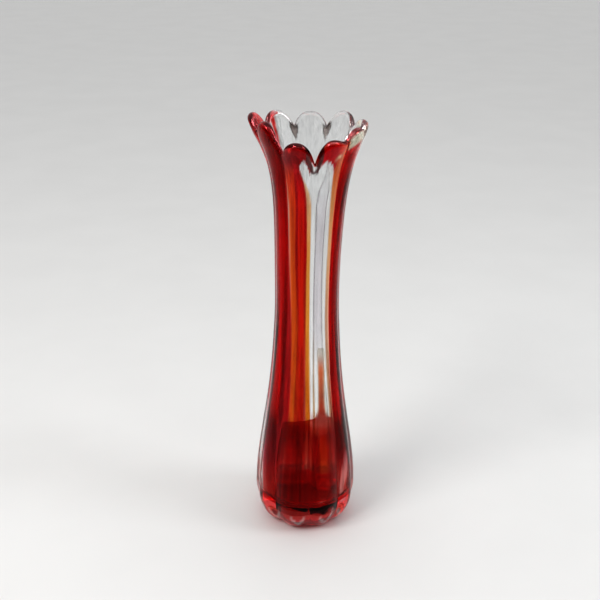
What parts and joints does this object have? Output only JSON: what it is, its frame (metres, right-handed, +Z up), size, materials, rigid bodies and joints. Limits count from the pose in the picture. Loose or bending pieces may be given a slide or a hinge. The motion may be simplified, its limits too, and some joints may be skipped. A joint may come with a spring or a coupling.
{
  "type": "art glass vase",
  "caption": "Tall swung glass vase with a ribbed, waisted body, a flared rim of rounded fingers, a thick flat foot, and red, orange and amber streaks cased in clear glass.",
  "frame": {"origin": "middle of the flat face that the vase stands on", "axes": "+Z up through the mouth, -Y towards the front of the vase, which is the deepest rim notch, +X to its right"},
  "size_m": [0.1019, 0.0978, 0.388],
  "materials": {
    "clear_casing": "fire-polished clear glass",
    "clear_lining": "smooth clear glass",
    "dark_red_glass": "transparent deep red glass",
    "orange_glass": "transparent brick orange glass, streaked",
    "scarlet_glass": "transparent bright red glass",
    "amber_glass": "transparent amber glass"
  },
  "bodies": {
    "root": {"outer_casing": "clear_casing", "inner_lining": "clear_lining", "deep_red_band_left": "dark_red_glass", "brick_orange_band": "orange_glass", "scarlet_band": "scarlet_glass", "amber_stripe_left": "amber_glass", "amber_stripe_right": "amber_glass", "deep_red_band_right": "dark_red_glass", "red_streak_right_edge": "dark_red_glass", "back_orange_wedge": "orange_glass", "red_base_pool": "scarlet_glass"}
  },
  "joints": []
}
